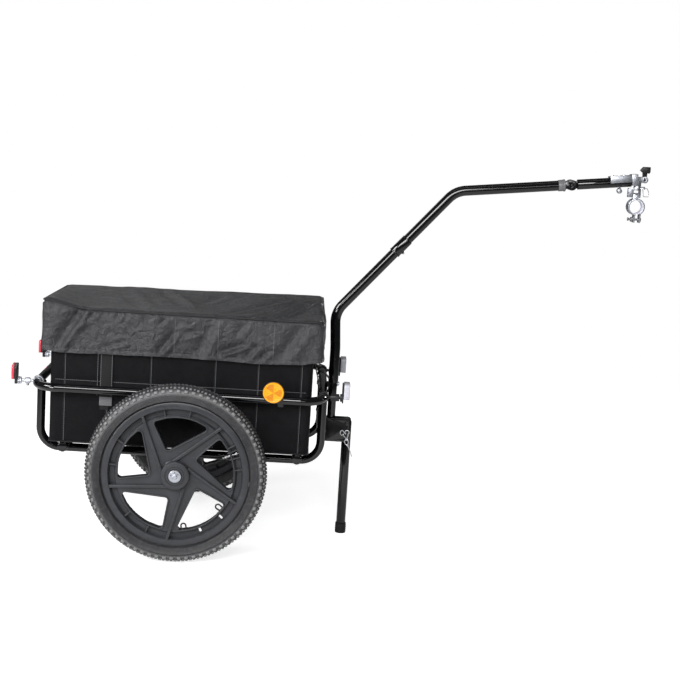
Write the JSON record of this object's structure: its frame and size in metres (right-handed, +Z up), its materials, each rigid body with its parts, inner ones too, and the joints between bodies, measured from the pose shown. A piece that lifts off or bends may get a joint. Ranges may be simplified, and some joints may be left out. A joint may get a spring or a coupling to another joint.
{
  "type": "bike cargo trailer",
  "caption": "Covered cargo box on a tube frame with moulded wheels, a folding stand and a bent drawbar ending in a seat post hitch.",
  "frame": {"origin": "centre of the bounding box's bottom, on the floor under the trailer's middle plane", "axes": "+X towards the hitch, +Y to the trailer's left, +Z up"},
  "size_m": [1.4294, 0.6176, 0.9169],
  "materials": {
    "frame_paint": "gloss black paint on steel tube",
    "zinc": "bright zinc plate",
    "dark_metal": "dark plated steel",
    "rubber": "matt black rubber",
    "box_fabric": "coated black fabric over stiff boards",
    "board": "dark board",
    "webbing": "black woven webbing",
    "cover_fabric": "dark grey coated fabric, soft folds",
    "tyre": "dark grey moulded tyre",
    "wheel_plastic": "moulded dark grey plastic",
    "black_plastic": "moulded black plastic",
    "red_lens": "red prismatic reflector",
    "clear_lens": "clear prismatic reflector",
    "orange_lens": "orange prismatic reflector"
  },
  "bodies": {
    "frame": {"ring_rail": "frame_paint", "side_frame_left": "frame_paint", "side_frame_right": "frame_paint", "cross_tube_front": "frame_paint", "cross_tube_middle": "frame_paint", "cross_tube_rear": "frame_paint", "front_crossbar": "frame_paint", "lower_post": "frame_paint", "post_bolt": "zinc", "stand_bracket": "frame_paint", "stand_pivot_bolt": "dark_metal", "lock_pin": "zinc", "box_shell": "box_fabric", "floor_board": "board", "strap_left": "webbing", "strap_right": "webbing", "strap_front": "webbing", "axle_left": "zinc", "axle_right": "zinc", "rear_lens_left": "red_lens", "rear_lens_right": "red_lens", "rear_housing_left": "black_plastic", "rear_housing_right": "black_plastic", "rear_bracket_left": "zinc", "rear_bracket_right": "zinc", "front_lens_left": "clear_lens", "front_lens_right": "clear_lens", "front_bracket_left": "frame_paint", "front_bracket_right": "frame_paint", "side_lens_left": "orange_lens", "side_lens_right": "orange_lens", "side_holder_left": "black_plastic", "side_holder_right": "black_plastic", "drawbar_lower": "frame_paint", "drawbar_upper": "frame_paint", "knuckle_fork": "dark_metal", "knuckle_pin": "dark_metal"},
    "stand": {"stand_leg": "frame_paint", "stand_foot": "rubber"},
    "clip": {"r_clip": "zinc"},
    "cover": {"cargo_cover": "cover_fabric"},
    "wheel_left": {"tyre_left": "tyre", "rim_left": "wheel_plastic", "hub_bush_left": "dark_metal"},
    "wheel_right": {"tyre_right": "tyre", "rim_right": "wheel_plastic", "hub_bush_right": "dark_metal"},
    "button_left": {"axle_button_left": "zinc"},
    "button_right": {"axle_button_right": "zinc"},
    "drawbar_button": {"snap_button": "zinc"},
    "tip": {"tip_tube": "frame_paint", "hitch_channel": "zinc", "channel_bolt": "zinc", "hitch_head": "zinc"},
    "latch": {"latch_lever": "black_plastic"},
    "swivel": {"swivel_yoke": "zinc"},
    "clamp": {"seatpost_clamp": "zinc", "clamp_bolt": "dark_metal"},
    "wire_clip": {"safety_clip": "zinc"}
  },
  "joints": [
    {"name": "wheel_spin_left", "type": "hinge", "parent": "frame", "child": "wheel_left", "pos_m": [-0.33028, 0.275, 0.1995], "axis": [0, 1, 0], "continuous": true},
    {"name": "wheel_spin_right", "type": "hinge", "parent": "frame", "child": "wheel_right", "pos_m": [-0.33028, -0.275, 0.1995], "axis": [0, 1, 0], "continuous": true},
    {"name": "axle_button_press_left", "type": "slide", "parent": "frame", "child": "button_left", "axis": [0, -1, 0], "range_m": [0, 0.003], "stiffness_N_per_m": 300, "springref_m": -0.003},
    {"name": "axle_button_press_right", "type": "slide", "parent": "frame", "child": "button_right", "axis": [0, 1, 0], "range_m": [0, 0.003], "stiffness_N_per_m": 300, "springref_m": -0.003},
    {"name": "stand_fold", "type": "hinge", "parent": "frame", "child": "stand", "pos_m": [0.04752, 0, 0.2705], "axis": [0, -1, 0], "range_deg": [0, 90]},
    {"name": "clip_pull", "type": "slide", "parent": "frame", "child": "clip", "axis": [-0.3256, 0, 0.9455], "range_m": [0, 0.055]},
    {"name": "cover_lift", "type": "slide", "parent": "frame", "child": "cover", "axis": [0, 0, 1], "range_m": [0, 0.3]},
    {"name": "drawbar_button_press", "type": "slide", "parent": "frame", "child": "drawbar_button", "axis": [-0.7538, 0, 0.6571], "range_m": [0, 0.003], "stiffness_N_per_m": 300, "springref_m": -0.003},
    {"name": "knuckle_pitch", "type": "hinge", "parent": "frame", "child": "tip", "pos_m": [0.53052, 0, 0.86474], "axis": [0, -1, 0], "range_deg": [-60, 30]},
    {"name": "latch_open", "type": "hinge", "parent": "tip", "child": "latch", "pos_m": [0.70039, 0, 0.88693], "axis": [0, 1, 0], "range_deg": [0, 55], "stiffness_Nm_per_rad": 0.05, "springref_deg": -17.19},
    {"name": "hitch_swivel", "type": "hinge", "parent": "tip", "child": "swivel", "pos_m": [0.68528, 0, 0.87102], "axis": [0, 0, 1], "range_deg": [-90, 90]},
    {"name": "clamp_roll", "type": "hinge", "parent": "swivel", "child": "clamp", "pos_m": [0.68528, 0, 0.85052], "axis": [1, 0, 0], "range_deg": [-75, 75]},
    {"name": "wire_clip_swing", "type": "hinge", "parent": "swivel", "child": "wire_clip", "pos_m": [0.69828, 0, 0.86702], "axis": [1, 0, 0], "range_deg": [-20, 20]}
  ]
}
